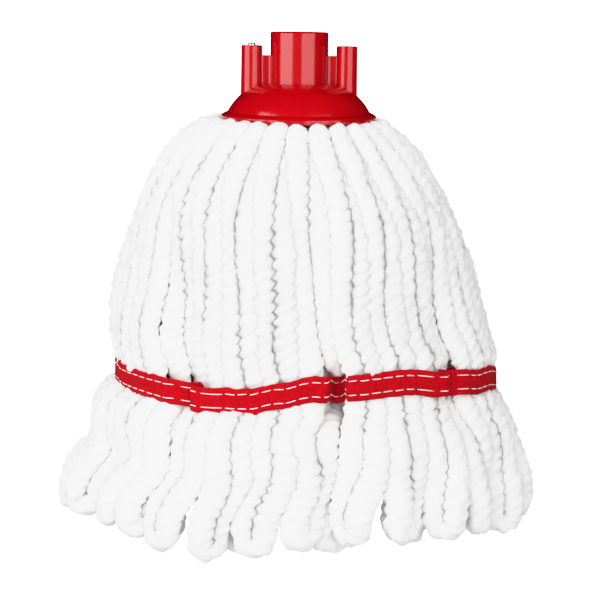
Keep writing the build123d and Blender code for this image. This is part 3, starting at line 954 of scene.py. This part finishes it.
def thread(bm, path, sides=8):
    """Adds one stitch: a closed round bar along the path, pointed at its ends."""
    rows = []
    for i, (p, out) in enumerate(path):
        along = (path[min(i + 1, len(path) - 1)][0] - path[max(i - 1, 0)][0]).normalized()
        across = along.cross(out).normalized()
        t = i / (len(path) - 1)
        r = STITCH_R * (STITCH_END + STITCH_MIDDLE * math.sin(math.pi * t) ** STITCH_SOON)
        row = []
        for j in range(sides):
            angle = 2 * math.pi * j / sides
            turned = across * math.cos(angle) + out * STITCH_FLAT * math.sin(angle)
            row.append(bm.verts.new((p + turned * r) * MM))
        rows.append(row)
    for a, b in zip(rows, rows[1:]):
        for j in range(sides):
            n = (j + 1) % sides
            bm.faces.new((a[j], a[n], b[n], b[j])).smooth = True
    bm.faces.new(rows[0][::-1])
    bm.faces.new(rows[-1])


# ======== Light, floor and camera ========

def softbox(name, way, height, power, tilt, shows):
    """A tall soft box that stands at that way round the mop and faces it. See SOFTBOXES for its settings."""
    light = bpy.data.lights.new(name, "AREA")
    light.shape = "RECTANGLE"
    light.size, light.size_y = SOFTBOX_SIZE
    light.energy = power
    obj = bpy.data.objects.new(name, light)
    turn = math.radians(way)
    obj.location = (SOFTBOX_AWAY * math.sin(turn), -SOFTBOX_AWAY * math.cos(turn), height)
    obj.rotation_euler = (math.radians(90 - tilt), 0, turn)
    obj.visible_camera = False
    obj.visible_glossy = shows
    obj.visible_diffuse = not shows
    bpy.context.collection.objects.link(obj)


def studio(floor_look):
    """The white floor that sweeps up into a round wall, the world's light, the picture's tone, soft boxes.

    The floor is only seen: it throws no light or shadow back at the mop.
    """
    bm = bmesh.new()
    rows = []
    for reach, height in FLOOR_PROFILE:
        turns = [2 * math.pi * i / FLOOR_SIDES for i in range(FLOOR_SIDES)]
        rows.append([bm.verts.new((reach * math.cos(a), reach * math.sin(a), height)) for a in turns])
    bm.faces.new(rows[0])
    for a, b in zip(rows, rows[1:]):
        for i in range(FLOOR_SIDES):
            n = (i + 1) % FLOOR_SIDES
            bm.faces.new((a[i], b[i], b[n], a[n])).smooth = True
    floor = bmesh_object("floor", bm)
    floor.data.materials.append(floor_look)
    floor.visible_diffuse = floor.visible_glossy = floor.visible_shadow = False
    world = bpy.data.worlds.new("studio")
    world.use_nodes = True
    world.node_tree.nodes["Background"].inputs["Color"].default_value = (1, 1, 1, 1)
    world.node_tree.nodes["Background"].inputs["Strength"].default_value = WORLD_STRENGTH
    bpy.context.scene.world = world
    view = bpy.context.scene.view_settings
    view.view_transform = "Standard"
    view.use_curve_mapping = True
    tones = view.curve_mapping
    tones.extend = "HORIZONTAL"
    tones.white_level = (BRIGHTEST, BRIGHTEST, BRIGHTEST)
    for light_in, light_out in SOFT_WHITES:
        tones.curves[3].points.new(light_in / BRIGHTEST, light_out)
    tones.update()
    world.cycles_visibility.glossy = False
    for name, settings in SOFTBOXES.items():
        softbox(name, *settings)


def camera():
    """The photo's view: from the front, a little above, with a slight roll."""
    data = bpy.data.cameras.new("camera")
    data.lens = CAMERA_LENS
    data.sensor_width = CAMERA_SENSOR
    cam = bpy.data.objects.new("camera", data)
    cam.location = CAMERA_PLACE
    cam.rotation_euler = (math.radians(90 - CAMERA_DOWN), math.radians(CAMERA_ROLL), 0)
    bpy.context.collection.objects.link(cam)
    bpy.context.scene.camera = cam


def main():
    yarn, plastic, tape = yarn_material(), plastic_material(), tape_material()
    thread_look, steel = thread_material(), steel_material()
    looks = {
        "socket_housing": plastic,
        "clamp_plate": plastic,
        "clamp_screw_left": steel,
        "clamp_screw_right": steel,
        "washer_left": steel,
        "washer_right": steel,
    }
    for node, look in looks.items():
        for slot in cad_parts[node].material_slots:
            slot.material = look
    camera()
    studio(floor_material())
    yarn_loops(yarn)
    gathered_core(yarn)
    centre_patch(tape, thread_look)
    belt_tape("belt_tape_outside", "belt_tape_outer", 1, tape)
    belt_tape("belt_tape_inside", "belt_tape_inner", -1, tape)
    stitches("stitches_upper", "stitch_row_upper", TAPE_HEIGHT - STITCH_ROWS[0], thread_look)
    stitches("stitches_lower", "stitch_row_lower", TAPE_HEIGHT - STITCH_ROWS[1], thread_look)


main()
